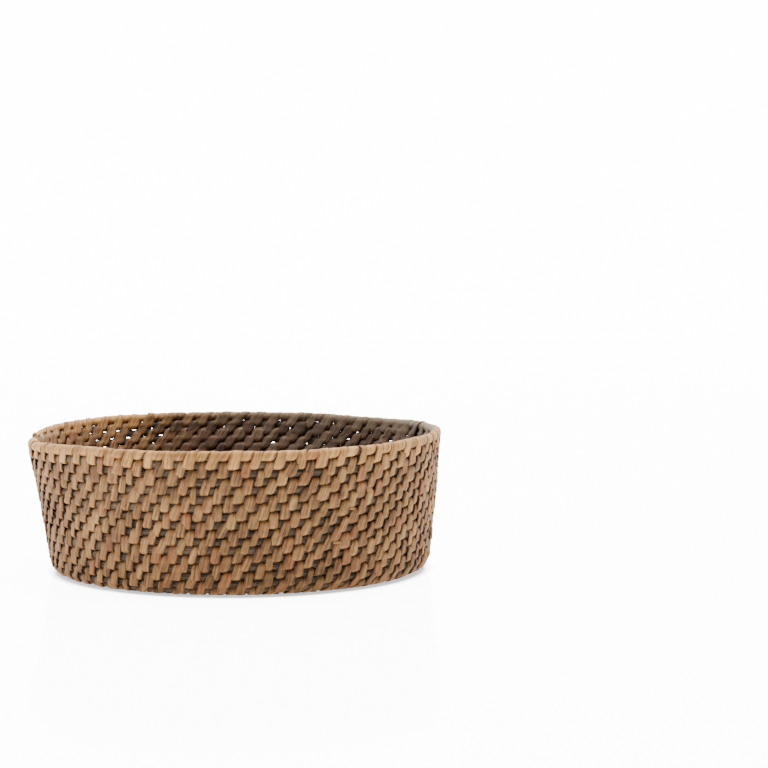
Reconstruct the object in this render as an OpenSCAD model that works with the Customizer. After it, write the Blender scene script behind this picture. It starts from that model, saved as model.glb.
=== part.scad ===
// Coiled root cheese mold.
// One round root rod winds in a spiral from the middle of the base to the rim. A flat strand of split
// root wraps every turn and sews it to the turn below. Here each strand is a closed sleeve of the
// strand's outer size: round over and under the rod, and flat where it is tucked between two turns.

/* [Basket] */
// Distance between the centrelines of neighbouring turns
row_pitch = 4.8; // [4.7:0.05:5.4]
// Turns in the base
base_turns = 22; // [18:1:26]
// Turns in the wall
wall_turns = 17; // [8:1:17]
// Radius of the bend from base to wall, at the centreline
corner_radius = 8; // [7:0.5:14]
// Lean of the wall from upright, in degrees
wall_lean = 8; // [0:1:14]
// How far the base stands to +X of the rim
base_offset = 4; // [0:0.5:5]

/* [Roots] */
// Diameter of the foundation rod
rod_d = 4; // [3.6:0.1:4]
// Diameter of the rod's starting tip
start_tip_d = 1.4; // [1:0.1:1.6]
// Length of the tapered end of the rod at the rim
end_taper = 30; // [16:1:36]
// Diameter that the rod tapers to at the rim
end_tip_d = 1.2; // [0.6:0.1:2]
// Thickness of a strand over the rod, on both faces of the basket
strand_t = 1.1; // [0.9:0.1:1.3]
// Thickness that wear has left under the rods of the base
sole_t = 0.85; // [0.6:0.05:0.9]
// Clearance between a strand and its rod
slack = 0.03; // [0.02:0.01:0.05]
// Half of the gap between the strands of neighbouring turns
half_gap = 0.04; // [0.04:0.01:0.08]

/* [Hidden] */
$fn = 24;
sweep_facets = 144;
base_lengths = 8;
// The coil starts on the +X side, and the wall's turns are counted from the -X side, where it ends.
first_wall_half = 2 * base_turns + 1;
last_half = first_wall_half + 2 * wall_turns - 1;
last_turn = (last_half + 1) / 2;
floor_z = rod_d / 2 + sole_t;
flat_len = (base_turns - 0.25) * row_pitch;
corner_angle = 90 - wall_lean;
corner_len = corner_radius * corner_angle * PI / 180;
rim_z = coil_z(last_turn);
// Angles round the first half ring at which the rod's tip begins, and at which it is sunk in the rod
start_tip_angle = 60;
sunk_tip_angle = 184;
root_colour = [0.50, 0.42, 0.32];
strand_colour = [0.76, 0.58, 0.38];

function two_digits(i) = i < 10 ? str("0", i) : str(i);
function base_strand_name(i) = i == base_lengths ? "foot_strand" : str("base_strand_", i);
function wall_strand_name(i) = i == wall_turns ? "rim_strand" : str("wall_strand_", two_digits(i));

// The spiral's own profile: radius and height after a length s along base, corner and wall.
function bend(s) = min(corner_angle, max(0, (s - flat_len) / corner_radius * 180 / PI));
function up_wall(s) = max(0, s - flat_len - corner_len);
function profile_r(s) = min(s, flat_len) + corner_radius * sin(bend(s)) + up_wall(s) * sin(wall_lean);
function profile_z(s) = floor_z + corner_radius * (1 - cos(bend(s))) + up_wall(s) * cos(wall_lean);
function coil_r(turns) = profile_r(turns * row_pitch);
function coil_z(turns) = profile_z(turns * row_pitch);
function offset_x(z) = base_offset * (rim_z - z) / (rim_z - floor_z);

// The spiral is a chain of half turns that meet on the XZ plane. Half turn k runs from end_point(k) to
// end_point(k + 1), anticlockwise seen from above, and is an arc in its own slightly tilted plane.
function end_point(k) =
    let (z = coil_z(k / 2), side = k % 2 == 0 ? 1 : -1)
    [side * coil_r(k / 2) + offset_x(z), 0, z];
function half_centre(k) = (end_point(k) + end_point(k + 1)) / 2;
function half_radius(k) = round(500 * norm(end_point(k) - end_point(k + 1))) / 1000;
function half_tilt(k) =
    let (right = end_point(k % 2 == 0 ? k : k + 1) - half_centre(k))
    atan2(-right.z, right.x);
function half_start(k) = k % 2 == 0 ? 0 : 180;
// The nearest angle whose cosine has six digits.
function six_digit_angle(a) =
    let (c = round(1e6 * cos(a)) / 1e6)
    c < 1 ? sign(a) * acos(c) : a;
// Direction out of half turn k at its middle, its upward direction, and the middle point itself.
function outward(k) = [0, k % 2 == 0 ? 1 : -1, 0];
function upward(k) = [sin(half_tilt(k)), 0, cos(half_tilt(k))];
function half_middle(k) = half_centre(k) + half_radius(k) * outward(k);
// Way from half turn k to its neighbour one turn on (or back), in the plane of k's section.
function to_neighbour(k, other) =
    let (way = half_middle(other) - half_middle(k))
    [way * outward(k), way * upward(k)];
function way_below(k) = k > 2 ? to_neighbour(k, k - 2) : [-row_pitch, 0];
function way_above(k) = to_neighbour(k, k + 2);

// Lengths of root in the base are about equal, and end on a half turn.
function base_cut(i) =
    i == 0 ? 1 : i == base_lengths ? first_wall_half : round(2 * base_turns * sqrt(i / base_lengths));
function wall_cut(i) = first_wall_half + 2 * i;
// Angle that half turn k covers. The last one stops short, where the rod's taper begins.
function half_sweep(k) = k < last_half ? 180 : 180 - end_taper / half_radius(k) * 180 / PI;

// Sweeps a section, drawn about the rod's centre with +X outward and +Y up, round half turns first to
// last - 1. The section can read the number of its half turn from $half.
module sweep_half_turns(first, last) {
    translate(half_centre(first))
        rotate([0, half_tilt(first), 0])
            sweep_on(first, last)
                children();
}

// Sweeps round half turn k in its own plane, and goes on from its end with the next one, so that the
// two meet exactly.
module sweep_on(k, last) {
    $half = k;
    end_side = k % 2 == 0 ? -1 : 1;
    rotate(half_start(k))
        rotate_extrude(angle = half_sweep(k), $fn = sweep_facets)
            translate([half_radius(k), 0])
                children();
    if (k + 1 < last)
        translate([end_side * half_radius(k), 0, 0])
            rotate([0, six_digit_angle(half_tilt(k + 1) - half_tilt(k)), 0])
                translate([-end_side * half_radius(k + 1), 0, 0])
                    sweep_on(k + 1, last)
                        children();
}

module rod(first, last) {
    sweep_half_turns(first, last) circle(d = rod_d);
}

// Thin beginning of the rod, bent in a tight half ring at the middle of the base.
module starting_tip() {
    radius = coil_r(0.5) / 2;
    translate(end_point(1) + [radius, 0, 0])
        rotate(start_tip_angle)
            rotate_extrude(angle = sunk_tip_angle - start_tip_angle, $fn = 4 * $fn)
                translate([radius, 0])
                    circle(d = start_tip_d, $fn = 24);
}

// Tapered end of the rod, which slopes down onto the turn below. It begins inside the rod.
module finishing_tip() {
    sunk = 1;
    sunk_d = rod_d - 0.1;
    drop = atan((sunk_d - end_tip_d) / 2 / end_taper);
    turn_in = (180 - half_sweep(last_half)) / 2;
    translate(half_centre(last_half))
        rotate([0, half_tilt(last_half), 0])
            rotate(half_start(last_half) + half_sweep(last_half))
                translate([half_radius(last_half), 0, 0])
                    rotate([-90 - drop, 0, turn_in])
                        translate([0, 0, -sunk])
                            cylinder(h = sunk + end_taper, d1 = sunk_d, d2 = end_tip_d);
}

// Keeps what lies less than reach from the rod's centre, in the direction of the vector way.
module trim_towards(way, reach) {
    big = 2 * rod_d;
    rotate(atan2(way.y, way.x))
        translate([-big, -big])
            square([big + reach, 2 * big]);
}

// Section of the strand round half turn k, trimmed halfway to each neighbouring turn and, in the base
// and the first half turn of the wall, worn flat underneath.
module strand_section(k) {
    below = way_below(k);
    above = way_above(k);
    difference() {
        intersection() {
            circle(d = rod_d + 2 * strand_t);
            trim_towards(below, norm(below) / 2 - half_gap);
            if (k < last_half - 1) trim_towards(above, norm(above) / 2 - half_gap);
            if (k <= first_wall_half) trim_towards([0, -1], floor_z);
        }
        circle(d = rod_d + 2 * slack);
    }
}

module strand(first, last) {
    sweep_half_turns(first, last) strand_section($half);
}

module base_rod(i) {
    color(root_colour) {
        rod(base_cut(i - 1), base_cut(i));
        if (i == 1) starting_tip();
    }
}

module base_strand(i) {
    color(strand_colour) strand(base_cut(i - 1), base_cut(i));
}

module wall_rod(i) {
    color(root_colour) {
        rod(wall_cut(i - 1), wall_cut(i));
        if (i == wall_turns) finishing_tip();
    }
}

module wall_strand(i) {
    color(strand_colour) strand(wall_cut(i - 1), wall_cut(i));
}

for (i = [1 : base_lengths]) {
    base_rod(i);
    base_strand(i);
}
for (i = [1 : wall_turns]) {
    wall_rod(i);
    wall_strand(i);
}
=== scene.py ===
"""Looks of the coiled root cheese mold: irregular root rods, wrapped by flat split-root strands."""

import math
from types import SimpleNamespace

import bpy
import numpy as np
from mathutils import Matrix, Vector


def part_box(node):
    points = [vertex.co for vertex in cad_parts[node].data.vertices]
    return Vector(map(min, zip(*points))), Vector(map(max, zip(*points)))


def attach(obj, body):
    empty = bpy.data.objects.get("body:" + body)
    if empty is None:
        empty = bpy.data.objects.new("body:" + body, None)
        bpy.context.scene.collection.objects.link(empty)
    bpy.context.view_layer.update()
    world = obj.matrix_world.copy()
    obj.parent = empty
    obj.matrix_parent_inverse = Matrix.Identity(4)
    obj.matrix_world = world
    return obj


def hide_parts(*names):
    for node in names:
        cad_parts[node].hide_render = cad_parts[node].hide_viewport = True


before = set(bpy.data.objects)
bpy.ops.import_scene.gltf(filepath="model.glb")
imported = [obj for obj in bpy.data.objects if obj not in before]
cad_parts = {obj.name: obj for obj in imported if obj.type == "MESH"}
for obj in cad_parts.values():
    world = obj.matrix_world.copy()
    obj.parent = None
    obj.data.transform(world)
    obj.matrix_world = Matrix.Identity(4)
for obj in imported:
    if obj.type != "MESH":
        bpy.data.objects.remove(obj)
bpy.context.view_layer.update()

# ---------------------------------------------------------------- the coil, in metres
MM = 0.001
TURN = 2 * np.pi
ROW_PITCH = 4.8 * MM
BASE_TURNS = 22
BASE_LENGTHS = 8
WALL_TURNS = 17
CORNER_RADIUS = 8.0 * MM
WALL_LEAN = math.radians(8)
BASE_OFFSET = 4.0 * MM
FIRST_WALL_TURN = BASE_TURNS + 0.5
LAST_TURN = FIRST_WALL_TURN + WALL_TURNS
FLAT_LENGTH = (BASE_TURNS - 0.25) * ROW_PITCH
CORNER_ANGLE = math.pi / 2 - WALL_LEAN

foot_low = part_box("base_rod_8")[0]
rod_low, rod_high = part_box("base_rod_5")
ROD_RADIUS = (rod_high.z - rod_low.z) / 2
FLOOR_Z = foot_low.z + ROD_RADIUS
RIM_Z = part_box("wall_rod_17")[1].z - ROD_RADIUS

# Turns between which the rod grows from its starting tip and tapers to its last tip, and the share of
# its radius that it has at each tip.
START_FROM, START_TO, START_TIP = 0.14, 0.75, 0.35
TIP_FROM, TIP_TO, END_TIP = LAST_TURN - 0.075, LAST_TURN, 0.25
# The rod is oval: wider up the wall by this share of its radius, more or less by the second share, and
# less by the third where the weave is most open. Its radius varies by the share ROD_UNEVEN.
ROD_OVAL, ROD_OVAL_SPREAD, ROD_OVAL_LESS = 0.15, 0.05, 0.07
ROD_UNEVEN = 0.035
# Waves along the rod of its radius and of its oval, in radians to a metre.
UNEVEN_ROD_WAVES, OVAL_ROD_WAVES = 160, 90
# The ends of a length stay round and even over this way, so that the lengths meet.
ROD_EASE = 10 * MM
ROD_SIDES = 12
ROD_STEPS_PER_TURN, FEWEST_ROD_STEPS = 300, 24
BASE_ROD_SEED, WALL_ROD_SEED = 99, 199

# ---------------------------------------------------------------- how the basket is out of true, in mm
# The wall is bent out into an oval, three lobes and waves, all growing with the height, and at the right.
OVAL_OUT, LOBES_OUT, WAVES_OUT, RIGHT_OUT = 0.5, 0.3, 0.4, 2.0
OVAL_PHASE, LOBES_PHASE = 0.8, 2.0
# The rim is raised, tilted, and bent up and down in the same ways.
RIM_UP, TILT_UP, OVAL_UP, LOBES_UP, WAVES_UP = 1.3, 1.0, 0.16, 0.66, 0.5
TILT_PHASE = 0.5
# At the front left the foot bulges out, fading up the wall as exp(-FOOT_FADE * height), and the wall
# sags, up to the share SAG_TO of the height.
FOOT_OUT, FOOT_FADE, SAG_DOWN, SAG_TO = 1.6, 6, 2.2, 0.35
# Angles round the basket, in radians.
RIGHT, FRONT_LEFT = 0.1, -2.6
# Within this radius, in metres, the bends outward fade out towards the middle of the base.
FOOT_RADIUS = 110 * MM

# ---------------------------------------------------------------- the strands, in metres
STRAND_THICK = 1.1 * MM
TUCK_THICK = 0.62 * MM
# A strand is this wide, but where the stitches stand closer only this share of their spacing.
STRAND_WIDTH = 6.2 * MM
WIDTH_SHARE = 0.49
# The sewing begins at this turn, with this many stitches to the turn.
FIRST_STITCH, FIRST_TURN_STITCHES = 1.55, 8
# Stitches to a turn of the wall. The half lets each stand over a gap of the turn below.
WALL_STITCHES = 61.53
# Before the turn LAST_SPLIT a gap wider than this takes two stitches. From EVEN_FROM on the stitches are
# spread evenly.
WIDE_GAP = 14.875 * MM
LAST_SPLIT = BASE_TURNS - 2
EVEN_FROM = BASE_TURNS - 3
# The places of stitches go on a little past the last turn, because each gap ends at the next stitch.
PLACES_TO = LAST_TURN + 0.05
# How far a stitch may stand from the middle of its gap, as a share of the gap.
DRIFT = 0.2
# The way that a stitch steps along on the outside, as a share of the stitch spacing. It varies along the
# coil by LEAN_SPREAD, in waves of this many radians to a turn.
LEAN, LEAN_SPREAD, LEAN_WAVES = 0.25, 0.04, 5.0
# How far the inside of a stitch bows along the coil, as a share of the stitch spacing.
INSIDE_BEND = 0.075
# On the inside a strand is wider by this share, less by the second where the weave is most open, and
# thinner by the third. In the tucks it is narrower by the share TUCK_NARROW.
INSIDE_WIDER, INSIDE_WIDER_LESS, INSIDE_THINNER = 0.42, 0.14, 0.15
TUCK_NARROW = 0.12
# On the outside it is wider by this share at its bottom, and narrows by the second towards its top.
BOTTOM_WIDER, TOP_NARROWER = 0.05, 0.1
# How much further out it stands over the lower rod, and how far it dips between the two rods.
STAND_OFF, DIP = 0.22 * MM, 0.18 * MM
# A strand's width varies along it by this share, in waves of this many radians in a metre.
UNEVEN_WIDTH, UNEVEN_WAVES = 0.06, 700
# How sharply a strand passes from open to tucked as it rounds a rod, as a power of the sine.
TUCK_SHARPNESS = 2.2
# Its width lies mostly in line with the rod it rounds, and a little square to its own path.
FOLD_IN_LINE, FOLD_SQUARE = 0.8, 0.2
# Painted shade on the outside's top, which the stitch above half hides, and the share of the inside's
# stain and painted shade that a tuck takes.
TOP_SHADE, TUCK_STAIN_AND_SHADE = 0.38, 0.5
# A stitch's tone is drawn from a beta distribution, and varies along the coil by this much, in waves of
# this many radians to a turn.
TONE_BETA, TONE_SPREAD, TONE_WAVES = 3, 0.12, 9
# Random variation from stitch to stitch, as shares. The twist is in radians.
PLACE_JITTER, LEAN_JITTER, WIDTH_JITTER, THICK_JITTER, TWIST_JITTER = 0.055, 0.08, 0.13, 0.10, 0.08
LOOSENESS = 0.10 * MM
# A strand lasts this many stitches, or up to the end of its node if fewer than FEWEST_LEFT would be left.
SHORTEST_STRAND, LONGEST_STRAND, FEWEST_LEFT = 12, 43, 8
# This share of the joins in the wall shows a cut end, which starts at the second share of the next gap.
CUT_END_SHARE, CUT_END_START = 0.6, 0.3
CUT_END_STEPS = 9
CUT_END_MM = (3.0, 5.0)
CUT_END_WIDTH, CUT_END_TAPER, CUT_END_THICK = 3.2 * MM, 0.45, 0.6 * MM
# It comes out this share of the way up from the lower rod, and may slope by this much either way.
CUT_END_HEIGHT, CUT_END_SLOPE_MM = 0.55, 0.9
# Its distance from the rod at its start, and how much further its tip is, in strand thicknesses.
CUT_END_LOW, CUT_END_LIFT = 0.1, 0.78
# The cut end's tone and hue, and the painted shade at its start, where it comes out of the gap, fading to
# none at its tip.
CUT_END_TONE, CUT_END_HUE, CUT_END_SHADE = 0.45, 0.5, 0.3
# Each strand has its own grain, a number below about 100 that picks where its streaks are read. Sewn
# strands take theirs from the number of their first stitch.
GRAINS, GRAIN_CYCLE = 90, 97
# Angles round the basket: where the weave is most open, at the back, and where the inside is darkest.
MOST_OPEN = math.radians(75)
DARKEST = math.radians(15)
# The inside is painted darker, partly as whey stain and partly as shade, less at the left than at the
# back and right: its middle value, how far it goes either way, how sharply it changes, and how much
# further than half way round it reaches.
STAIN_AND_SHADE, STAIN_AND_SHADE_SPREAD, STAIN_AND_SHADE_EDGE, STAIN_AND_SHADE_REACH = 0.46, 0.46, 3, 0.30
# How much it varies from place to place, and in how many radians of waves to a turn.
STAIN_AND_SHADE_UNEVEN, STAIN_AND_SHADE_WAVES = 0.08, 7

# Short wraps round one rod: at the start of the coil, between the stitches of the rim and at its end.
# A wrap's step is how far it goes along the coil, in turns, but at the rim in stitch spacings.
WRAP_THICK = STRAND_THICK * 0.9
WRAP_THICK_JITTER, WRAP_WIDTH_JITTER = 0.06, 0.04
# On the inside a wrap is wider by this share, and under the rod it is thinner by this share.
WRAP_INSIDE_WIDER, WRAP_UNDER_THINNER = 0.2, 0.4
# How quickly the inside's stain and painted shade grow as a wrap turns to the inside.
WRAP_STAIN_AND_SHADE_EDGE = 1.6
WRAP_STEPS = 25
# Share of a wrap's way at which it is outermost. There it passes its place on the coil.
OUTERMOST = 0.25
START_WRAPS, START_WRAPS_FROM, START_WRAP_STEP, START_WRAP_WIDTH = 14, 0.2, 0.05, 2.6 * MM
RIM_WRAP_STEP, RIM_WRAP_WIDTH = 0.75, 7.6 * MM
TIP_WRAPS, TIP_WRAP_STEP, TIP_WRAP_WIDTH, BARE_TIP = 5, 0.006, 4.5 * MM, 0.0015

# ---------------------------------------------------------------- the studio and the camera
CAMERA_PLACE = (0.0925, -1.287, 0.204)
CAMERA_DOWN = math.radians(4.05)
CAMERA_LENS = 98.4
FLOOR_SIZE, BACKDROP_SIZE = (12, 5.6), (12, 4.4)
BACKDROP_PLACE = (0, 2.8, 2.0)
BACKDROP_GLOW, BACKDROP_SEEN = 4.0, 10.0
FLOOR_GLOW, FLOOR_SEEN = 0.8, 9.5
FLOOR_DROP = 0.1 * MM
# Within this radius of the base's middle the floor does not burn out for the camera, which paints a
# contact shadow round the foot; it fades in over the edge.
SHADOW_RADIUS, SHADOW_EDGE = 113 * MM, 6 * MM
WORLD_GLOW = 0.2

rng = np.random.default_rng(17)


# ---------------------------------------------------------------- smooth random variation
def smooth_noise(x, seed, waves=5):
    """A sum of sines with seeded phases, about -1 to 1."""
    local = np.random.default_rng(seed)
    total = np.zeros_like(np.asarray(x, float))
    for i in range(waves):
        frequency = 1.0 + 0.83 * i + 0.3 * local.random()
        total += np.sin(frequency * x + local.random() * TURN) / (1 + 0.45 * i)
    return total / 2.2


def ring_noise(angle, height, seed, waves=7):
    """Smooth variation over the wall that closes on itself round the basket, about -1 to 1."""
    local = np.random.default_rng(seed)
    total = np.zeros_like(angle)
    for i in range(waves):
        phase = local.uniform(-14, 14) * height + TURN * local.random()
        total += np.sin((3 + 2 * i) * angle + phase) / (1 + 0.3 * i)
    return total / 2.4


def facing(angle, side):
    """1 on the given side of the basket, falling to 0 a quarter of the way round from it."""
    return np.clip(np.cos(angle - side), 0, 1)


# ---------------------------------------------------------------- the coil
def rod_radius(u):
    """The rod's radius after u turns: tapered at its start and at its end."""
    grow = np.clip((u - START_FROM) / (START_TO - START_FROM), 0, 1)
    fade = np.clip((TIP_TO - u) / (TIP_TO - TIP_FROM), 0, 1)
    return ROD_RADIUS * (START_TIP + (1 - START_TIP) * grow) * (END_TIP + (1 - END_TIP) * fade)


def coil(u):
    """Centre of the rod after u turns, as points. The last tip slopes down onto the turn below."""
    u = np.asarray(u, float)
    s = u * ROW_PITCH - (ROD_RADIUS - rod_radius(u)) * (u > BASE_TURNS)
    bend = np.clip((s - FLAT_LENGTH) / CORNER_RADIUS, 0, CORNER_ANGLE)
    up = np.maximum(0, s - FLAT_LENGTH - CORNER_RADIUS * CORNER_ANGLE)
    r = np.minimum(s, FLAT_LENGTH) + CORNER_RADIUS * np.sin(bend) + up * math.sin(WALL_LEAN)
    z = FLOOR_Z + CORNER_RADIUS * (1 - np.cos(bend)) + up * math.cos(WALL_LEAN)
    shift = BASE_OFFSET * (RIM_Z - z) / (RIM_Z - FLOOR_Z)
    angle = TURN * u
    return np.stack([r * np.cos(angle) + shift, r * np.sin(angle), z], -1)


def circumference(u):
    """Length of one turn of the coil at u."""
    return TURN * np.hypot(*coil(u)[..., :2].T)


def unit(v):
    return v / np.maximum(np.linalg.norm(v, axis=-1, keepdims=True), 1e-12)


def path_length(centre):
    """Distance along a path of points from its start."""
    return np.concatenate([[0], np.cumsum(np.linalg.norm(np.diff(centre, axis=0), axis=1))])


def coil_frame(u):
    """Centre of the turn below, direction to this turn, outward direction and distance at u."""
    upper = coil(u)
    lower = coil(u - 1)
    step = 1e-3
    tangent = unit(coil(u + step) - coil(u - step))
    across = unit(upper - lower)
    out = unit(np.cross(tangent, across))
    across = unit(np.cross(out, tangent))
    distance = np.sum((upper - lower) * across, -1)
    return lower, across, out, distance


def bent_out(angle, height):
    """How far out handwork and drying have bent the wall, in mm."""
    out = (OVAL_OUT * np.cos(2 * angle + OVAL_PHASE)
           + LOBES_OUT * np.cos(3 * angle + LOBES_PHASE)) * height
    out += WAVES_OUT * ring_noise(angle, height, seed=3) * height
    out += RIGHT_OUT * facing(angle, RIGHT) ** 2
    return out + FOOT_OUT * facing(angle, FRONT_LEFT) ** 2 * np.exp(-FOOT_FADE * height)


def bent_up(angle, height):
    """How far up handwork and drying have bent the wall, in mm."""
    rim_up = (RIM_UP + TILT_UP * np.cos(angle + TILT_PHASE) + OVAL_UP * np.sin(2 * angle)
              + LOBES_UP * np.cos(3 * angle))
    up = rim_up * height ** 2
    up += WAVES_UP * ring_noise(angle, height, seed=4) * height
    sag = np.sin(np.pi * np.clip(height / SAG_TO, 0, 1))
    return up - SAG_DOWN * facing(angle, FRONT_LEFT) ** 2 * sag


def handmade(points):
    """Bends the whole basket a little out of true. The middle of the base stays as it is."""
    p = np.array(points, float)
    angle = np.arctan2(p[:, 1], p[:, 0])
    radius = np.hypot(p[:, 0], p[:, 1])
    height = np.clip(p[:, 2] / RIM_Z, 0, 1.05)
    ring = np.clip(radius / FOOT_RADIUS, 0, 1) ** 3
    out = bent_out(angle, height)
    p[:, 0] += np.cos(angle) * out * ring * MM
    p[:, 1] += np.sin(angle) * out * ring * MM
    p[:, 2] = np.maximum(p[:, 2] + bent_up(angle, height) * MM, 0)
    return p


# ---------------------------------------------------------------- mesh making
def add_mesh(name, points, faces, attributes, material):
    mesh = bpy.data.meshes.new(name)
    mesh.vertices.add(len(points))
    mesh.vertices.foreach_set("co", handmade(points).astype(np.float32).ravel())
    faces = np.asarray(faces, np.int32)
    mesh.loops.add(faces.size)
    mesh.polygons.add(len(faces))
    mesh.loops.foreach_set("vertex_index", faces.ravel())
    mesh.polygons.foreach_set("loop_start", np.arange(0, faces.size, 4, dtype=np.int32))
    mesh.polygons.foreach_set("use_smooth", np.ones(len(faces), bool))
    mesh.update(calc_edges=True)
    mesh.validate()
    for key, values in attributes.items():
        kind = "FLOAT_VECTOR" if np.ndim(values) == 2 else "FLOAT"
        field = "vector" if kind == "FLOAT_VECTOR" else "value"
        layer = mesh.attributes.new(key, kind, "POINT")
        layer.data.foreach_set(field, np.asarray(values, np.float32).ravel())
    mesh.materials.append(material)
    piece = bpy.data.objects.new(name, mesh)
    bpy.context.scene.collection.objects.link(piece)
    return piece


def cap(loop):
    """Quads that close a loop of points, each between one pair of opposite sides."""
    half = len(loop) // 2
    left = loop[:half + 1]
    right = np.concatenate([loop[half:], loop[:1]])[::-1]
    return np.stack([left[:-1], right[:-1], right[1:], left[1:]], -1)


class Skins:
    """Gathers swept strips, each a grid of sections joined by quads and capped at both ends."""

    def __init__(self):
        self.points, self.faces, self.count = [], [], 0
        self.values = {"grain": [], "tone": [], "hue": [], "inside": [], "tuck": [], "edge": []}

    def add(self, grid, **values):
        sections, around = grid.shape[:2]
        index = self.count + np.arange(sections * around).reshape(sections, around)
        turn = np.roll(index, -1, axis=1)
        quads = np.stack([index[:-1], turn[:-1], turn[1:], index[1:]], -1).reshape(-1, 4)
        self.points.append(grid.reshape(-1, 3))
        self.faces += [quads, cap(index[0]), cap(index[-1])[:, ::-1]]
        self.count += sections * around
        for key, store in self.values.items():
            depth = values[key].shape[2:]
            spread = np.broadcast_to(values[key], (sections, around) + depth)
            store.append(spread.reshape(-1, *depth))

    def build(self, name, material):
        """Makes the mesh, without the cap quads that have two corners in one point."""
        values = {key: np.concatenate(store) for key, store in self.values.items()}
        faces = np.concatenate(self.faces)
        shrunk = (faces[:, 0] == faces[:, 1]) | (faces[:, 2] == faces[:, 3])
        return add_mesh(name, np.concatenate(self.points), faces[~shrunk], values, material)


# A strand's section: places across it (share of the width) and heights (share of the thickness).
LENS = np.array([
    (-0.50, -0.10), (-0.45, 0.22), (-0.27, 0.44), (0.0, 0.50), (0.27, 0.44), (0.45, 0.22),
    (0.50, -0.10), (0.40, -0.42), (0.0, -0.50), (-0.40, -0.42),
])


def sweep_strand(skins, centre, wide, out, width, thick, along, tone, hue, inside, tuck, identity):
    """Sweeps the lens section along a path. All the arrays run along the path."""
    a, b = LENS[:, 0], LENS[:, 1]
    grid = (centre[:, None]
            + wide[:, None] * (a[None, :, None] * width[:, None, None])
            + out[:, None] * (b[None, :, None] * thick[:, None, None]))
    ones = np.ones((len(centre), len(LENS)))
    grain = np.stack([ones * along[:, None], a[None] * width[:, None], ones * identity], -1)
    skins.add(grid, grain=grain, tone=ones * tone[:, None], hue=ones * hue[:, None],
              inside=ones * inside[:, None], tuck=ones * tuck[:, None], edge=ones * np.abs(2 * a[None]))


def lay_flat(centre, normal, along_rod):
    """Width and thickness directions of a strand that folds in line with the rod."""
    ahead = unit(np.gradient(centre, axis=0))
    square = unit(np.cross(ahead, normal))
    along_rod = along_rod * np.sign(np.sum(along_rod * square, -1, keepdims=True))
    wide = unit(FOLD_IN_LINE * along_rod + FOLD_SQUARE * square)
    return wide, unit(np.cross(wide, ahead))


# ---------------------------------------------------------------- where the stitches stand
def stitch_places():
    """Each stitch stands in a gap of the turn below; wide gaps of the base take two."""
    places = list(np.linspace(FIRST_STITCH, FIRST_STITCH + 1, FIRST_TURN_STITCHES + 1)[:-1])
    below = 0
    while places[-1] < PLACES_TO:
        gap = places[below + 1] - places[below]
        here = places[below] + 1
        new = 2 if gap * circumference(here) > WIDE_GAP and here < LAST_SPLIT else 1
        for i in range(new):
            middle = here + gap * (i + 0.5) / new
            even = places[-1] + (1 / WALL_STITCHES if here > EVEN_FROM else gap / new)
            places.append(min(max(even, middle - DRIFT * gap / new), middle + DRIFT * gap / new))
        below += 1
    return np.array(places)


PLACES = stitch_places()

# One stitch's path: which rod it rounds (0 lower, 1 upper) and the angle round it, from the gap below
# up the outside, over the top and down the inside.
ROUND_OUT = [-90, -68, -45, -22, 0]
UP_THE_OUTSIDE = [(0.0, a) for a in ROUND_OUT] + [(0.25, 0), (0.5, 0), (0.75, 0)]
OVER_THE_TOP = [(1.0, -a) for a in ROUND_OUT[::-1]]
DOWN_THE_INSIDE = (
    [(1.0, 90 - a) for a in (-22, -45, -68, -90)] + [(0.75, 180), (0.5, 180), (0.25, 180)]
    + [(0.0, 180 - a) for a in (0, -22, -45, -68)]
)
PATH = UP_THE_OUTSIDE + OVER_THE_TOP + DOWN_THE_INSIDE
SHARE = np.array([p[0] for p in PATH])
ANGLE = np.radians([p[1] for p in PATH])
OUTSIDE = np.arange(len(PATH)) < len(UP_THE_OUTSIDE + OVER_THE_TOP)


def inside_stain_and_shade(u):
    """The inside's whey stain and painted shade: less at the left than at the back and right."""
    side = np.cos(TURN * u - DARKEST) + STAIN_AND_SHADE_REACH
    uneven = STAIN_AND_SHADE_UNEVEN * smooth_noise(u * STAIN_AND_SHADE_WAVES, seed=21)
    return STAIN_AND_SHADE + STAIN_AND_SHADE_SPREAD * np.tanh(STAIN_AND_SHADE_EDGE * side) + uneven


# ---------------------------------------------------------------- sewing
def draw_stitches(first, last):
    """Stitches first to last, each a little different. The last one only ends the strand."""
    count = last - first + 1
    u = PLACES[first:last + 1].copy()
    gap = np.diff(PLACES[first:last + 2])
    u += gap * rng.normal(0, PLACE_JITTER, count)
    lean = LEAN + LEAN_SPREAD * smooth_noise(u * LEAN_WAVES, seed=11) + rng.normal(0, LEAN_JITTER, count)
    spacing = circumference(u) * gap
    width = np.minimum(STRAND_WIDTH, WIDTH_SHARE * spacing) * (1 + rng.normal(0, WIDTH_JITTER, count))
    thick = STRAND_THICK * (1 + rng.normal(0, THICK_JITTER, count))
    loose = np.abs(rng.normal(0, LOOSENESS, count))
    tone = rng.beta(TONE_BETA, TONE_BETA, count) + TONE_SPREAD * smooth_noise(u * TONE_WAVES, seed=5)
    return SimpleNamespace(bottom=u - lean * gap / 2, top=u + lean * gap / 2, width=width, thick=thick,
                           loose=loose, tone=np.clip(tone, 0, 1), hue=rng.random(count))


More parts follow.
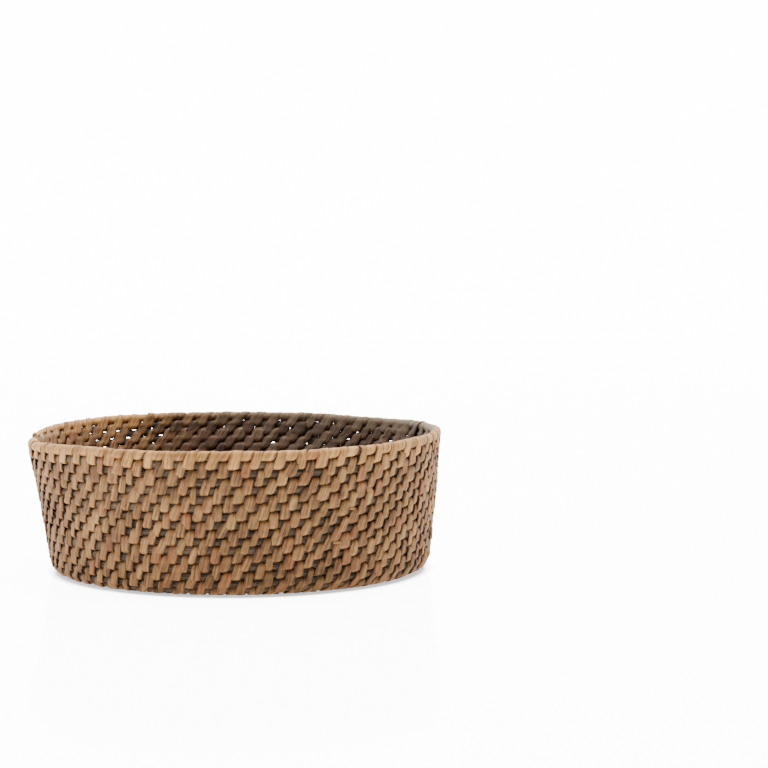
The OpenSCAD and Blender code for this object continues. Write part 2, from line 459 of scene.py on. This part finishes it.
def sew(skins, first, last, rim=False):
    """One strand sewn from stitch number first to last. At the rim it stays round over the top rod."""
    count = last - first
    if count < 1:
        return
    stitch = draw_stitches(first, last)
    k = np.repeat(np.arange(count), len(PATH))
    share = np.tile(SHARE, count)
    angle = np.tile(ANGLE, count)
    outside = np.tile(OUTSIDE, count)
    side, up = np.cos(angle), np.sin(angle)

    half_row = ROW_PITCH / 2
    height = (share * ROW_PITCH + half_row * up + half_row) / (2 * ROW_PITCH)
    down = 1 - height + INSIDE_BEND * np.sin(TURN * (1 - height))
    place = np.where(outside, stitch.bottom[k] + (stitch.top[k] - stitch.bottom[k]) * height,
                     stitch.top[k] + (stitch.bottom[k + 1] - stitch.top[k]) * down)
    lower, across, out, distance = coil_frame(place)

    over_rim = rim & (share == 1) & (up > 0)
    in_gap = np.where(over_rim, 0, np.abs(up) ** TUCK_SHARPNESS)
    open_air = 1 - in_gap
    section = stitch.thick[k] * open_air + TUCK_THICK * in_gap
    radius = rod_radius(place) * share + ROD_RADIUS * (1 - share)
    stand_off = STAND_OFF * (np.clip(1 - share, 0, 1) * open_air * outside)
    reach = radius + section / 2 + (stitch.loose[k] + stand_off) * open_air
    reach_across = np.where(over_rim, reach, half_row)
    dip = DIP * np.sin(np.pi * share) * (np.abs(up) < 0.1)
    centre = (lower + out * ((reach - dip) * side)[:, None]
              + across * (distance * share + reach_across * up)[:, None])

    wide, normal = lay_flat(centre, out * side[:, None] + across * up[:, None], np.cross(across, out))
    twist = np.repeat(rng.normal(0, TWIST_JITTER, count), len(PATH)) * open_air
    wide, normal = (wide * np.cos(twist)[:, None] + normal * np.sin(twist)[:, None],
                    normal * np.cos(twist)[:, None] - wide * np.sin(twist)[:, None])
    along = path_length(centre)
    uneven = 1 + UNEVEN_WIDTH * smooth_noise(along * UNEVEN_WAVES, seed=first + 7)
    wider = INSIDE_WIDER - INSIDE_WIDER_LESS * facing(TURN * place, MOST_OPEN)
    width = stitch.width[k] * (1 - TUCK_NARROW * in_gap) * uneven
    width = width * np.where(outside, 1 + BOTTOM_WIDER - TOP_NARROWER * height, 1 + wider * open_air)
    section = section * np.where(outside, 1.0, 1 - INSIDE_THINNER * open_air)
    # The inside takes its whey stain and painted shade, and a tuck a share of it. Painted shade darkens
    # the tucks and the outside towards its top, which the stitch above half hides.
    inside = (np.where(outside, 0.0, 1.0) * open_air + TUCK_STAIN_AND_SHADE * in_gap) * inside_stain_and_shade(place)
    tuck = np.maximum(in_gap, TOP_SHADE * height * outside)
    sweep_strand(skins, centre, wide, normal, width, section, along,
                 stitch.tone[k], stitch.hue[k], inside, tuck, float(first % GRAIN_CYCLE))


def cut_end(skins, place):
    """A strand's cut end, which comes out of the gap behind one stitch and lies over the next."""
    t = np.linspace(0, 1, CUT_END_STEPS)
    length = rng.uniform(*CUT_END_MM) * MM
    u = place + t * length / circumference(place)
    lower, across, out, distance = coil_frame(u)
    height = distance * CUT_END_HEIGHT + rng.uniform(-CUT_END_SLOPE_MM, CUT_END_SLOPE_MM) * MM * t
    reach = ROD_RADIUS + (CUT_END_LOW + CUT_END_LIFT * np.sqrt(t)) * STRAND_THICK
    centre = lower + out * reach[:, None] + across * height[:, None]
    wide, normal = lay_flat(centre, out, across)
    ones = np.ones(len(t))
    # Its start, where it comes out of the gap, is painted darker as shade.
    sweep_strand(skins, centre, wide, normal, CUT_END_WIDTH * (1 - CUT_END_TAPER * t),
                 CUT_END_THICK * ones, t * length, CUT_END_TONE * ones, CUT_END_HUE * ones, 0 * ones,
                 CUT_END_SHADE * (1 - t), rng.random() * GRAINS)


def sew_turns(skins, start, end, rim=False):
    """Sews from turn start to turn end, changing strands now and then."""
    at = int(np.searchsorted(PLACES, start))
    stop = min(int(np.searchsorted(PLACES, end)), len(PLACES) - 2)
    while at < stop:
        upto = min(stop, at + int(rng.integers(SHORTEST_STRAND, LONGEST_STRAND + 1)))
        if stop - upto < FEWEST_LEFT:
            upto = stop
        sew(skins, at, upto, rim=rim)
        if start >= FIRST_WALL_TURN and not rim and rng.random() < CUT_END_SHARE:
            cut_end(skins, PLACES[upto] + CUT_END_START * (PLACES[upto + 1] - PLACES[upto]))
        at = upto


def wrap_rod(skins, place, step, width):
    """A short wrap round one rod only, from the gap below it and back, leaning like the stitches."""
    turn = np.linspace(0, 1, WRAP_STEPS)
    angle = TURN * turn - np.pi / 2
    side, up = np.cos(angle), np.sin(angle)
    u = place + step * (turn - OUTERMOST)
    _, across, out, _ = coil_frame(u)
    under = np.clip(-up, 0, 1) ** 2
    section = WRAP_THICK * (1 + rng.normal(0, WRAP_THICK_JITTER)) * (1 - WRAP_UNDER_THINNER * under)
    reach = rod_radius(u) + section / 2
    reach_up = reach * (1 - under) + under * np.minimum(reach, ROW_PITCH / 2)
    centre = coil(u) + out * (reach * side)[:, None] + across * (reach_up * up)[:, None]
    wide, normal = lay_flat(centre, out * side[:, None] + across * up[:, None], np.cross(across, out))
    ones = np.ones(len(turn))
    wider = 1 + WRAP_INSIDE_WIDER * np.clip(-side, 0, 1)
    width = width * (1 + rng.normal(0, WRAP_WIDTH_JITTER)) * wider
    along = path_length(centre) + rng.random()
    tone, hue = rng.beta(TONE_BETA, TONE_BETA), rng.random()
    # The inside of a wrap takes the inside's whey stain and painted shade.
    stain_and_shade_share = np.clip(-WRAP_STAIN_AND_SHADE_EDGE * side, 0, 1) * inside_stain_and_shade(u)
    # Under the rod the wrap is painted darker, as shade.
    sweep_strand(skins, centre, wide, normal, ones * width, section, along,
                 ones * tone, ones * hue, stain_and_shade_share, under, rng.random() * GRAINS)


def wrap_start(skins):
    """Wraps the bare beginning of the coil, at the middle of the base."""
    for place in np.linspace(START_WRAPS_FROM, FIRST_STITCH, START_WRAPS):
        wrap_rod(skins, place, START_WRAP_STEP, START_WRAP_WIDTH)


def wrap_rim(skins, start):
    """Covers the top rod between the long stitches, and its tip after the last one."""
    inner = PLACES[(PLACES >= start - 0.01) & (PLACES < start + 0.995)]
    for a, b in zip(inner[:-1], inner[1:]):
        wrap_rod(skins, (a + b) / 2, RIM_WRAP_STEP * (b - a), RIM_WRAP_WIDTH)
    for place in np.linspace(inner[-1], TIP_TO - BARE_TIP, TIP_WRAPS):
        wrap_rod(skins, place, TIP_WRAP_STEP, TIP_WRAP_WIDTH)


def rod_skin(skins, start, end, seed):
    """The root core from turn start to turn end, slightly uneven along its length."""
    u = np.linspace(start, end, max(FEWEST_ROD_STEPS, int((end - start) * ROD_STEPS_PER_TURN)))
    centre = coil(u)
    _, across, out, _ = coil_frame(u)
    along = path_length(centre)
    ease = np.clip(np.minimum(along, along[-1] - along) / ROD_EASE, 0, 1)
    radius = rod_radius(u) * (1 + ROD_UNEVEN * smooth_noise(along * UNEVEN_ROD_WAVES, seed) * ease)
    turn = np.linspace(0, TURN, ROD_SIDES + 1)[:-1]
    normal = (out[:, None] * np.cos(turn)[None, :, None]
              + across[:, None] * np.sin(turn)[None, :, None])
    grid = centre[:, None] + normal * radius[:, None, None]
    oval = ROD_OVAL + ROD_OVAL_SPREAD * smooth_noise(along * OVAL_ROD_WAVES, seed + 5)
    oval = oval - ROD_OVAL_LESS * facing(TURN * u, MOST_OPEN)
    grid += across[:, None] * (radius * oval * ease)[:, None, None] * np.sin(turn)[None, :, None]
    shape = grid.shape[:2]
    grain = np.stack([np.broadcast_to(along[:, None], shape),
                      np.broadcast_to(turn[None] * ROD_RADIUS, shape),
                      np.full(shape, float(seed))], -1)
    plain = np.zeros(shape)
    # The inside of the rod takes the inside's whey stain and painted shade.
    inside = np.broadcast_to(np.clip(-np.cos(turn), 0, 1)[None], shape)
    skins.add(grid, grain=grain, tone=plain + rng.random(), hue=plain + rng.random(),
              inside=inside, tuck=plain, edge=plain)


# ---------------------------------------------------------------- material nodes
# A mix node has sockets for numbers, vectors and colours. These are the ones that a colour mix uses.
MIX_FACTOR, MIX_A, MIX_B, MIX_COLOUR = 0, 6, 7, 2


def feed(tree, value, socket):
    """Links value to the socket if it is a node's output, and otherwise sets it."""
    if isinstance(value, bpy.types.NodeSocket):
        tree.links.new(value, socket)
    else:
        socket.default_value = (*value, 1) if isinstance(value, tuple) else value


def ramp(tree, factor, stops):
    made = tree.nodes.new("ShaderNodeValToRGB")
    elements = made.color_ramp.elements
    while len(elements) < len(stops):
        elements.new(0.5)
    for element, (place, colour) in zip(elements, stops):
        element.position = place
        element.color = (*colour, 1)
    tree.links.new(factor, made.inputs["Fac"])
    return made.outputs["Color"]


def mix_colour(tree, mode, factor, first, second):
    made = tree.nodes.new("ShaderNodeMix")
    made.data_type = "RGBA"
    made.blend_type = mode
    feed(tree, factor, made.inputs[MIX_FACTOR])
    feed(tree, first, made.inputs[MIX_A])
    feed(tree, second, made.inputs[MIX_B])
    return made.outputs[MIX_COLOUR]


def math_node(tree, operation, *values, clamp=False):
    made = tree.nodes.new("ShaderNodeMath")
    made.operation = operation
    made.use_clamp = clamp
    for value, slot in zip(values, made.inputs):
        feed(tree, value, slot)
    return made.outputs[0]


def swing(tree, value, middle, strength):
    """How far value is over or under middle, times strength."""
    return math_node(tree, "MULTIPLY", math_node(tree, "SUBTRACT", value, middle), strength)


def excess(tree, value, limit, strength):
    """How far value is over the limit, times strength, from 0 to 1."""
    over = math_node(tree, "SUBTRACT", value, limit, clamp=True)
    return math_node(tree, "MULTIPLY", over, strength, clamp=True)


def attribute(tree, name, output="Fac"):
    made = tree.nodes.new("ShaderNodeAttribute")
    made.attribute_name = name
    return made.outputs[output]


def noise(tree, vector, scale, detail, roughness):
    made = tree.nodes.new("ShaderNodeTexNoise")
    made.inputs["Scale"].default_value = scale
    made.inputs["Detail"].default_value = detail
    made.inputs["Roughness"].default_value = roughness
    tree.links.new(vector, made.inputs["Vector"])
    return made.outputs["Fac"]


def stretched(tree, vector, scale):
    made = tree.nodes.new("ShaderNodeMapping")
    made.inputs["Scale"].default_value = scale
    tree.links.new(vector, made.inputs["Vector"])
    return made.outputs["Vector"]


# ---------------------------------------------------------------- root materials
FINE_GRAIN = (160, 2600, 7.3)
COARSE_GRAIN = (45, 750, 3.1)
PATCHES_PER_METRE, BLOTCHES_PER_METRE, SPECKS_PER_METRE = 38.0, 210.0, 900.0
# Colours that darken the root: painted shade on a strand's rounded edges, the inside's whey stain with
# painted shade, painted shade in the tucks and on the stitches' tops, and specks of dirt.
EDGE_SHADE = (0.52, 0.44, 0.38)
WHEY_STAIN_AND_SHADE = (0.27, 0.38, 0.82)
TUCK_SHADE = (0.30, 0.22, 0.17)
DIRT = (0.45, 0.36, 0.30)
# How strongly a strand's own tone, fine streaks, coarse streaks and broad patches change its colour.
TONE_STRENGTH, FINE_STRENGTH, COARSE_STRENGTH, PATCH_STRENGTH = 0.46, 1.3, 1.5, 0.7
DARKEST_TONE = 0.15
# Strands whose hue value, 0 to 1, is over this are reddish. Those with a low one have more olive.
RED_FROM, RED_STRENGTH = 0.86, 3.2
OLIVE_FROM, OLIVE_STRENGTH, OLIVE_BY_HUE = 0.22, 3.0, -0.45
# The edge value is 0 in the middle of a strand and 1 at its edges, which are painted darker as shade.
EDGE_FROM, EDGE_STRENGTH = 0.62, 2.4
# How strongly the painted shade in the tucks and on the stitches' tops darkens the colour.
TUCK_STRENGTH = 0.62
DIRT_BELOW, DIRT_CONTRAST, DIRT_STRENGTH = 0.47, 5.0, 0.35
FIBRE_ROUGHNESS, ROOT_SPECULAR = 0.30, 0.28
BUMP_STRENGTH, BUMP_DEPTH, COARSE_RELIEF = 0.8, 0.16 * MM, 0.9


def root_body(tree, fibres, coarse, place, pale, middle, dark):
    """Colour of the bare root: each strand's own tone, streaks along it and broad patches."""
    level = math_node(tree, "MULTIPLY_ADD", attribute(tree, "tone"), TONE_STRENGTH, DARKEST_TONE)
    level = math_node(tree, "ADD", level, swing(tree, fibres, 0.5, FINE_STRENGTH))
    level = math_node(tree, "ADD", level, swing(tree, coarse, 0.5, COARSE_STRENGTH))
    patches = noise(tree, place, PATCHES_PER_METRE, detail=3.0, roughness=0.6)
    level = math_node(tree, "ADD", level, swing(tree, patches, 0.42, PATCH_STRENGTH), clamp=True)
    return ramp(tree, level, [(0.0, dark), (0.45, middle), (1.0, pale)])


def tinted(tree, colour, place, red, olive):
    """A few strands reddish, and some blotched with olive."""
    hue = attribute(tree, "hue")
    colour = mix_colour(tree, "MIX", excess(tree, hue, RED_FROM, RED_STRENGTH), colour, red)
    blotches = noise(tree, place, BLOTCHES_PER_METRE, detail=2.0, roughness=0.5)
    green = math_node(tree, "ADD", blotches, math_node(tree, "MULTIPLY", hue, OLIVE_BY_HUE))
    green = math_node(tree, "SUBTRACT", green, OLIVE_FROM)
    green = math_node(tree, "MULTIPLY", green, OLIVE_STRENGTH, clamp=True)
    return mix_colour(tree, "MULTIPLY", green, colour, olive)


def aged_and_shaded(tree, colour, place, stain_and_shade_strength):
    """Painted shade on the strands' edges, the inside's whey stain with painted shade, painted shade in
    the tucks and specks of dirt.
    """
    # Painted shade on a strand's rounded edges.
    edge = excess(tree, attribute(tree, "edge"), EDGE_FROM, EDGE_STRENGTH)
    colour = mix_colour(tree, "MULTIPLY", edge, colour, EDGE_SHADE)
    # The inside's whey stain with painted shade.
    old = math_node(tree, "MULTIPLY", attribute(tree, "inside"), stain_and_shade_strength)
    colour = mix_colour(tree, "MULTIPLY", old, colour, WHEY_STAIN_AND_SHADE)
    tuck = math_node(tree, "MULTIPLY", attribute(tree, "tuck"), TUCK_STRENGTH)
    colour = mix_colour(tree, "MULTIPLY", tuck, colour, TUCK_SHADE)
    specks = noise(tree, place, SPECKS_PER_METRE, detail=2.0, roughness=0.6)
    dirt = math_node(tree, "SUBTRACT", DIRT_BELOW, specks, clamp=True)
    dirt = math_node(tree, "MULTIPLY", dirt, DIRT_CONTRAST, clamp=True)
    dirt = math_node(tree, "MULTIPLY", dirt, DIRT_STRENGTH)
    return mix_colour(tree, "MULTIPLY", dirt, colour, DIRT)


def root_relief(tree, fibres, coarse):
    bump = tree.nodes.new("ShaderNodeBump")
    bump.inputs["Strength"].default_value = BUMP_STRENGTH
    bump.inputs["Distance"].default_value = BUMP_DEPTH
    relief = math_node(tree, "ADD", fibres, math_node(tree, "MULTIPLY", coarse, COARSE_RELIEF))
    tree.links.new(relief, bump.inputs["Height"])
    return bump.outputs["Normal"]


def root_material(name, pale, middle, dark, red, olive, smoothest, stain_and_shade_strength):
    """Split or round root: fibres along its length, patchy colour, specks of dirt, the inside's whey
    stain, and painted shade at the edges, in the tucks and inside.
    """
    material = bpy.data.materials.new(name)
    material.use_nodes = True
    tree = material.node_tree
    shader = tree.nodes["Principled BSDF"]
    grain = attribute(tree, "grain", "Vector")
    fibres = noise(tree, stretched(tree, grain, FINE_GRAIN), 1.0, detail=4.0, roughness=0.6)
    coarse = noise(tree, stretched(tree, grain, COARSE_GRAIN), 1.0, detail=2.0, roughness=0.5)
    place = tree.nodes.new("ShaderNodeTexCoord").outputs["Object"]
    colour = root_body(tree, fibres, coarse, place, pale, middle, dark)
    colour = tinted(tree, colour, place, red, olive)
    colour = aged_and_shaded(tree, colour, place, stain_and_shade_strength)
    tree.links.new(colour, shader.inputs["Base Color"])
    rough = math_node(tree, "MULTIPLY_ADD", fibres, FIBRE_ROUGHNESS, smoothest)
    tree.links.new(rough, shader.inputs["Roughness"])
    shader.inputs["Specular IOR Level"].default_value = ROOT_SPECULAR
    tree.links.new(root_relief(tree, fibres, coarse), shader.inputs["Normal"])
    return material


def srgb(r, g, b):
    return tuple((c / 255 / 12.92) if c / 255 <= 0.04045 else ((c / 255 + 0.055) / 1.055) ** 2.4
                 for c in (r, g, b))


def strand_look():
    return root_material(
        "split_root_strand", pale=srgb(206, 157, 97), middle=srgb(150, 105, 62), dark=srgb(86, 57, 35),
        red=srgb(144, 80, 46), olive=(0.78, 0.86, 0.80), smoothest=0.50, stain_and_shade_strength=0.95)


def base_look():
    return root_material(
        "split_root_base", pale=srgb(178, 130, 80), middle=srgb(134, 90, 52), dark=srgb(76, 49, 31),
        red=srgb(122, 70, 42), olive=(0.78, 0.85, 0.80), smoothest=0.55, stain_and_shade_strength=0.9)


def rim_look():
    return root_material(
        "split_root_rim", pale=srgb(236, 182, 108), middle=srgb(198, 142, 80), dark=srgb(118, 80, 48),
        red=srgb(164, 96, 52), olive=(0.84, 0.90, 0.84), smoothest=0.46, stain_and_shade_strength=1.0)


def rod_look():
    return root_material(
        "round_root_rod", pale=srgb(128, 106, 82), middle=srgb(92, 73, 55), dark=srgb(42, 33, 27),
        red=srgb(80, 56, 44), olive=(0.80, 0.92, 0.86), smoothest=0.6, stain_and_shade_strength=0.75)


strand_material = strand_look()
base_material = base_look()
rim_material = rim_look()
rod_material = rod_look()


# ---------------------------------------------------------------- the pieces
def finish_piece(skins, node_name, material):
    piece = skins.build("look_" + node_name, material)
    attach(piece, "root")
    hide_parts(node_name)


def base_cut(i):
    """Turn at which length i of the base ends: the lengths are about equal and end on a half turn."""
    if i == 0:
        return 0.5
    if i == BASE_LENGTHS:
        return FIRST_WALL_TURN
    return round(2 * BASE_TURNS * math.sqrt(i / BASE_LENGTHS)) / 2


def base_piece(i):
    """Length i of the base, and its strand."""
    start, end = base_cut(i - 1), base_cut(i)
    rod = Skins()
    rod_skin(rod, START_FROM if i == 1 else start, end, BASE_ROD_SEED + i)
    finish_piece(rod, f"base_rod_{i}", rod_material)
    strand = Skins()
    if i == 1:
        wrap_start(strand)
    sew_turns(strand, max(start, FIRST_STITCH), end)
    name = "foot_strand" if i == BASE_LENGTHS else f"base_strand_{i}"
    finish_piece(strand, name, base_material)


def wall_piece(i):
    """Turn i of the wall, and its strand."""
    start = FIRST_WALL_TURN + i - 1
    last = i == WALL_TURNS
    rod = Skins()
    rod_skin(rod, start, TIP_TO if last else start + 1, WALL_ROD_SEED + i)
    finish_piece(rod, f"wall_rod_{i:02d}", rod_material)
    strand = Skins()
    sew_turns(strand, start, start + 1, rim=last)
    if last:
        wrap_rim(strand, start)
        finish_piece(strand, "rim_strand", rim_material)
    else:
        finish_piece(strand, f"wall_strand_{i:02d}", strand_material)


for i in range(1, BASE_LENGTHS + 1):
    base_piece(i)
for i in range(1, WALL_TURNS + 1):
    wall_piece(i)


# ---------------------------------------------------------------- floor, light and camera
def away_from_foot(tree, radius):
    """0 within this radius of the base's middle, rising to 1 over the next SHADOW_EDGE."""
    distance = tree.nodes.new("ShaderNodeVectorMath")
    distance.operation = "DISTANCE"
    distance.inputs[1].default_value = (BASE_OFFSET, 0, 0)
    tree.links.new(tree.nodes.new("ShaderNodeTexCoord").outputs["Object"], distance.inputs[0])
    edge = math_node(tree, "SUBTRACT", distance.outputs["Value"], radius)
    return math_node(tree, "DIVIDE", edge, SHADOW_EDGE, clamp=True)


def plain_material(name, colour, roughness, specular, glow, seen_glow, clear_of=None):
    """A plain stage material that glows, and burns out brighter still for the camera alone, except
    within the radius clear_of from the middle of the base, which leaves a painted contact shadow there."""
    material = bpy.data.materials.new(name)
    material.use_nodes = True
    tree = material.node_tree
    shader = tree.nodes["Principled BSDF"]
    shader.inputs["Base Color"].default_value = (*colour, 1)
    shader.inputs["Roughness"].default_value = roughness
    shader.inputs["Specular IOR Level"].default_value = specular
    shader.inputs["Emission Color"].default_value = (1, 1, 1, 1)
    seen = tree.nodes.new("ShaderNodeLightPath").outputs["Is Camera Ray"]
    extra = math_node(tree, "MULTIPLY", seen, seen_glow)
    if clear_of is not None:
        extra = math_node(tree, "MULTIPLY", extra, away_from_foot(tree, clear_of))
    tree.links.new(math_node(tree, "ADD", extra, glow), shader.inputs["Emission Strength"])
    return material


def plane(name, place, tilt, size, material):
    mesh = bpy.data.meshes.new(name)
    x, y = size[0] / 2, size[1] / 2
    mesh.from_pydata([(-x, -y, 0), (x, -y, 0), (x, y, 0), (-x, y, 0)], [], [(0, 1, 2, 3)])
    mesh.materials.append(material)
    made = bpy.data.objects.new(name, mesh)
    made.location = place
    made.rotation_euler = (tilt, 0, 0)
    bpy.context.scene.collection.objects.link(made)


def softbox(name, place, aim, size, power):
    light = bpy.data.lights.new(name, "AREA")
    light.shape = "RECTANGLE"
    light.size, light.size_y = size
    light.energy = power
    lamp = bpy.data.objects.new(name, light)
    lamp.location = place
    lamp.rotation_euler = (Vector(aim) - Vector(place)).to_track_quat("-Z", "Y").to_euler()
    bpy.context.scene.collection.objects.link(lamp)


def soft_world():
    world = bpy.data.worlds.new("studio")
    world.use_nodes = True
    background = world.node_tree.nodes["Background"]
    background.inputs["Color"].default_value = (1, 1, 1, 1)
    background.inputs["Strength"].default_value = WORLD_GLOW
    bpy.context.scene.world = world


def studio():
    floor = plain_material("pale_floor", colour=(0.95, 0.95, 0.955), roughness=0.08, specular=0.12,
                           glow=FLOOR_GLOW, seen_glow=FLOOR_SEEN, clear_of=SHADOW_RADIUS)
    plane("floor", (0, 0, -FLOOR_DROP), 0, FLOOR_SIZE, floor)
    backdrop = plain_material("lit_backdrop", colour=(0.9, 0.9, 0.9), roughness=0.9, specular=0.0,
                              glow=BACKDROP_GLOW, seen_glow=BACKDROP_SEEN)
    plane("backdrop", BACKDROP_PLACE, math.pi / 2, BACKDROP_SIZE, backdrop)
    soft_world()
    softbox("top_softbox", place=(0.05, 0.2, 1.4), aim=(0, 0, 0), size=(1.0, 0.8), power=30)
    softbox("left_softbox", place=(-1.4, -0.45, 0.65), aim=(0, 0, 0.04), size=(0.5, 0.5), power=17)
    softbox("right_softbox", place=(0.5, -0.1, 1.25), aim=(-0.1, 0, 0.06), size=(0.4, 0.4), power=12.5)


def camera():
    data = bpy.data.cameras.new("camera")
    data.lens = CAMERA_LENS
    data.sensor_width = 36
    data.clip_end = 50
    made = bpy.data.objects.new("camera", data)
    made.location = CAMERA_PLACE
    made.rotation_euler = (math.pi / 2 - CAMERA_DOWN, 0, 0)
    bpy.context.scene.collection.objects.link(made)
    bpy.context.scene.camera = made


studio()
camera()
